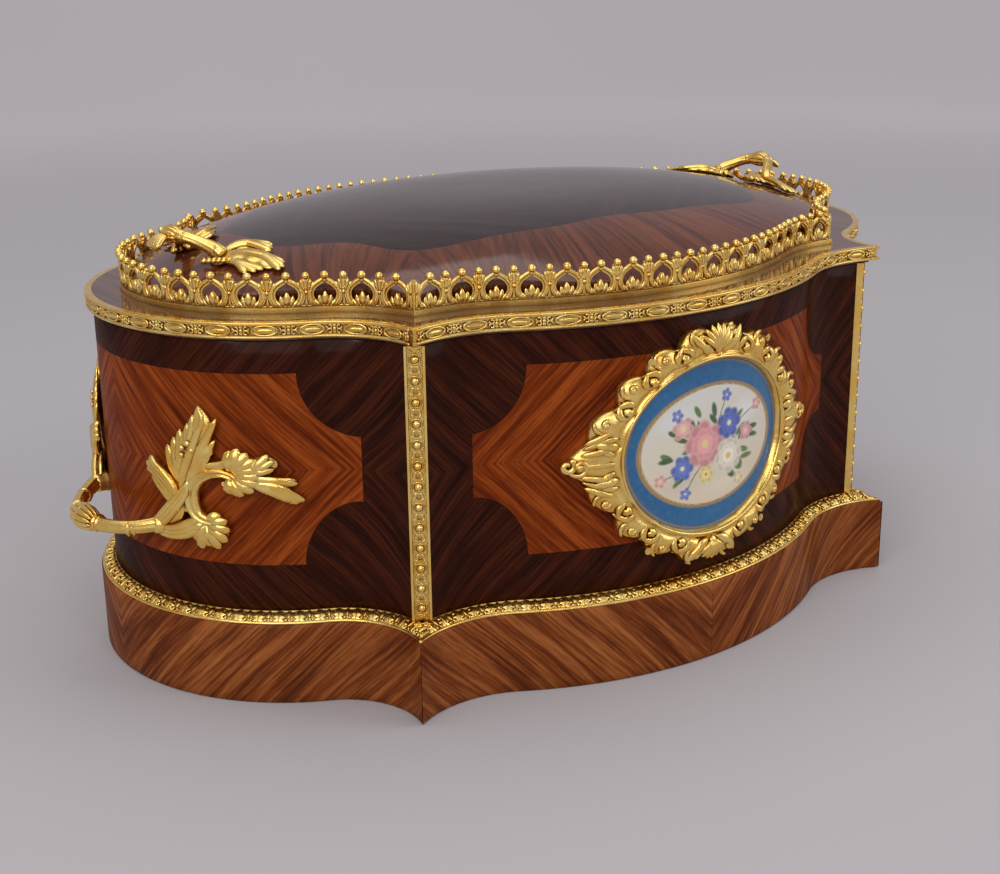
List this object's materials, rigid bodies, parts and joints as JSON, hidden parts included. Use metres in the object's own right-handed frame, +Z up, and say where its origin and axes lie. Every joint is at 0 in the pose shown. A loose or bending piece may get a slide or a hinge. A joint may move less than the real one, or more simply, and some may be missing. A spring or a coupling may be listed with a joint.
{
  "type": "jardiniere table",
  "caption": "Serpentine veneered tabletop jardiniere with gilt mounts, a pierced gallery, a porcelain plaque, a zinc liner and a domed lift-off lid.",
  "frame": {"origin": "on the surface it stands on, under the centre of the plinth", "axes": "+X along the length to the right end seen from the front, -Y towards the side with the plaque, +Z up"},
  "size_m": [0.4602, 0.3096, 0.1962],
  "materials": {
    "gilt_bronze": "gilded, bright on the raised parts and matt in the hollows",
    "case_veneer": "polished figured veneer",
    "plinth_veneer": "polished veneer laid diagonally",
    "top_veneer": "high gloss polish",
    "lid_veneer": "high gloss polish",
    "bare_oak": "bare",
    "porcelain": "glazed and painted",
    "zinc_sheet": "dull sheet metal",
    "steel_screws": "plain"
  },
  "bodies": {
    "case": {"plinth_front": "plinth_veneer", "plinth_back": "plinth_veneer", "plinth_left": "plinth_veneer", "plinth_right": "plinth_veneer", "bottom_board": "bare_oak", "plinth_blocks": "bare_oak", "case_front": "case_veneer", "case_back": "case_veneer", "case_left": "case_veneer", "case_right": "case_veneer", "corner_blocks": "bare_oak", "top_frame": "top_veneer", "border_front": "gilt_bronze", "border_back": "gilt_bronze", "border_left": "gilt_bronze", "border_right": "gilt_bronze", "base_moulding_front": "gilt_bronze", "base_moulding_back": "gilt_bronze", "base_moulding_left": "gilt_bronze", "base_moulding_right": "gilt_bronze", "corner_strip_front_left": "gilt_bronze", "corner_strip_front_right": "gilt_bronze", "corner_strip_back_left": "gilt_bronze", "corner_strip_back_right": "gilt_bronze", "gallery_front": "gilt_bronze", "gallery_back": "gilt_bronze", "gallery_left": "gilt_bronze", "gallery_right": "gilt_bronze", "plaque_frame": "gilt_bronze", "plaque": "porcelain", "frame_screws": "gilt_bronze", "handle_left": "gilt_bronze", "handle_right": "gilt_bronze", "handle_screws": "steel_screws", "gallery_screws": "steel_screws"},
    "liner": {"liner": "zinc_sheet", "liner_lugs": "zinc_sheet"},
    "lid": {"lid_frame": "bare_oak", "lid_top": "lid_veneer", "lid_handle_left": "gilt_bronze", "lid_handle_right": "gilt_bronze", "lid_handle_screws": "steel_screws"},
    "ring_left": {"liner_ring_left": "zinc_sheet"},
    "ring_right": {"liner_ring_right": "zinc_sheet"}
  },
  "joints": [
    {"name": "liner_lift", "type": "slide", "parent": "case", "child": "liner", "axis": [0, 0, 1], "range_m": [0, 0.13]},
    {"name": "lid_lift", "type": "slide", "parent": "liner", "child": "lid", "axis": [0, 0, 1], "range_m": [0, 0.16]},
    {"name": "ring_left_swing", "type": "hinge", "parent": "liner", "child": "ring_left", "pos_m": [-0.18225, 0, 0.1462], "axis": [0, 1, 0], "range_deg": [-90, 0]},
    {"name": "ring_right_swing", "type": "hinge", "parent": "liner", "child": "ring_right", "pos_m": [0.18225, 0, 0.1462], "axis": [0, 1, 0], "range_deg": [0, 90]}
  ]
}
